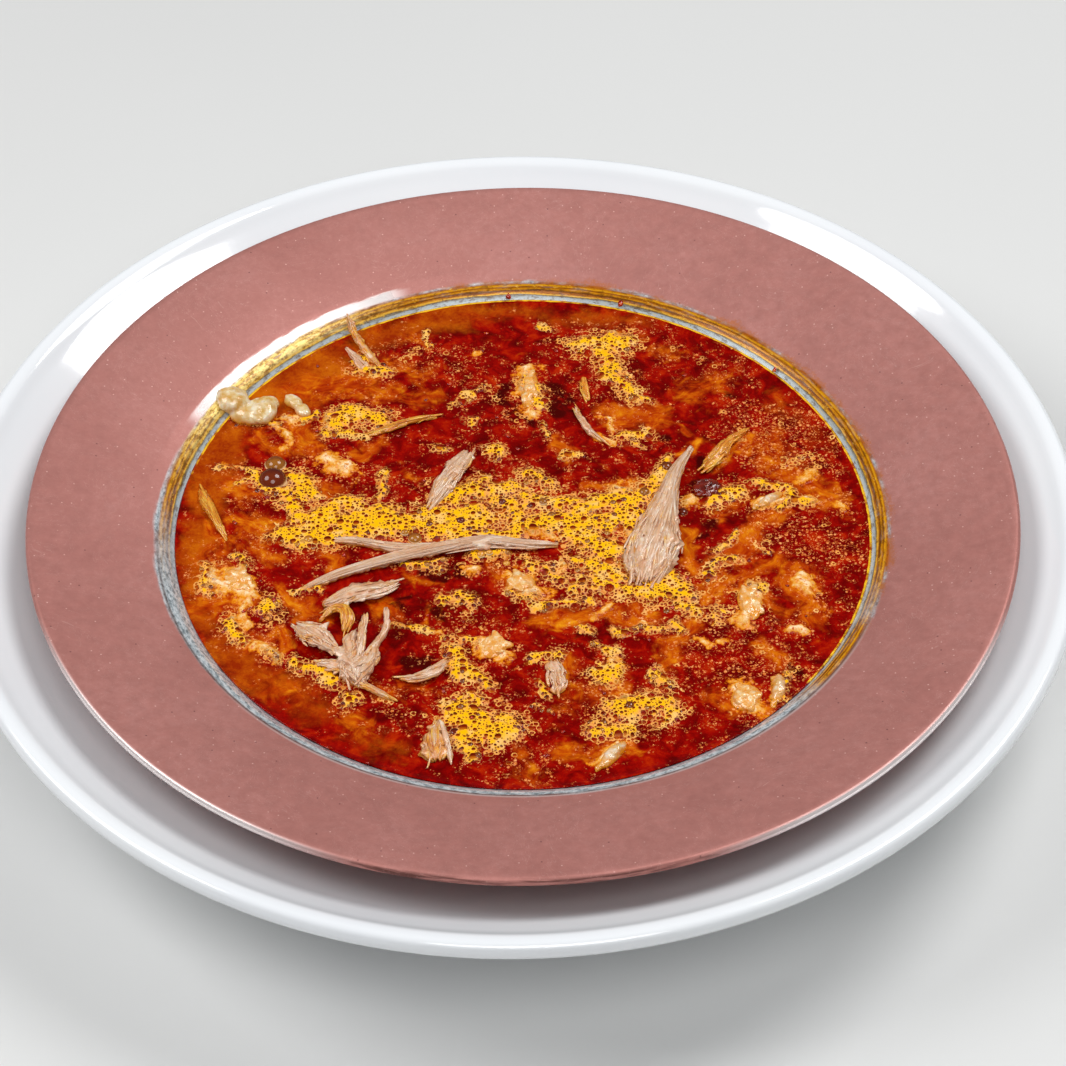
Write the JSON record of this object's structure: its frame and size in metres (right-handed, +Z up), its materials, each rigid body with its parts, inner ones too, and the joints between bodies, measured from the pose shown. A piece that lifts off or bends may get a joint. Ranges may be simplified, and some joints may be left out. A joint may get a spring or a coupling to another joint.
{
  "type": "bowl of lamb and rice soup",
  "caption": "Chilli-red soup with shredded lamb, rice and froth in a shallow tinned copper dish with a broad rim, standing in a deep white porcelain plate.",
  "frame": {"origin": "on the table, under the middle of the porcelain plate", "axes": "+Z up, +X to the right and +Y away from the diner, so the picture's camera stands at -Y"},
  "size_m": [0.251, 0.251, 0.0405],
  "materials": {
    "porcelain": "smooth white glaze",
    "copper": "matte brushed copper, tinned inside the well",
    "broth": "glossy chilli oil over orange broth, with yellow froth",
    "lamb": "moist fibrous cooked meat",
    "fat": "moist translucent fat",
    "rice": "moist swollen rice",
    "chilli": "dark wet chilli"
  },
  "bodies": {
    "root": {"underplate": "porcelain", "copper_dish": "copper", "broth": "broth", "lamb_long_strand": "lamb", "lamb_wedge": "lamb", "lamb_right_strand": "lamb", "lamb_flat_strip": "lamb", "lamb_leaf": "lamb", "lamb_curl": "lamb", "lamb_knot": "lamb", "lamb_slab": "lamb", "lamb_crescent": "lamb", "lamb_triangle": "lamb", "lamb_small_slab": "lamb", "lamb_wall_strand": "lamb", "lamb_spike": "lamb", "lamb_left_strand": "lamb", "lamb_middle_strand": "lamb", "lamb_thin_strand": "lamb", "lamb_back_strip": "lamb", "fat_over_wall": "fat", "fat_drop": "fat", "rice_clump_right": "rice", "rice_clump_corner": "rice", "rice_clump_centre": "rice", "rice_clump_front": "rice", "rice_clump_back": "rice", "rice_clump_left": "rice", "rice_grain_right": "rice", "rice_grain_front": "rice", "rice_grain_edge": "rice", "chilli_clump": "chilli"}
  },
  "joints": []
}
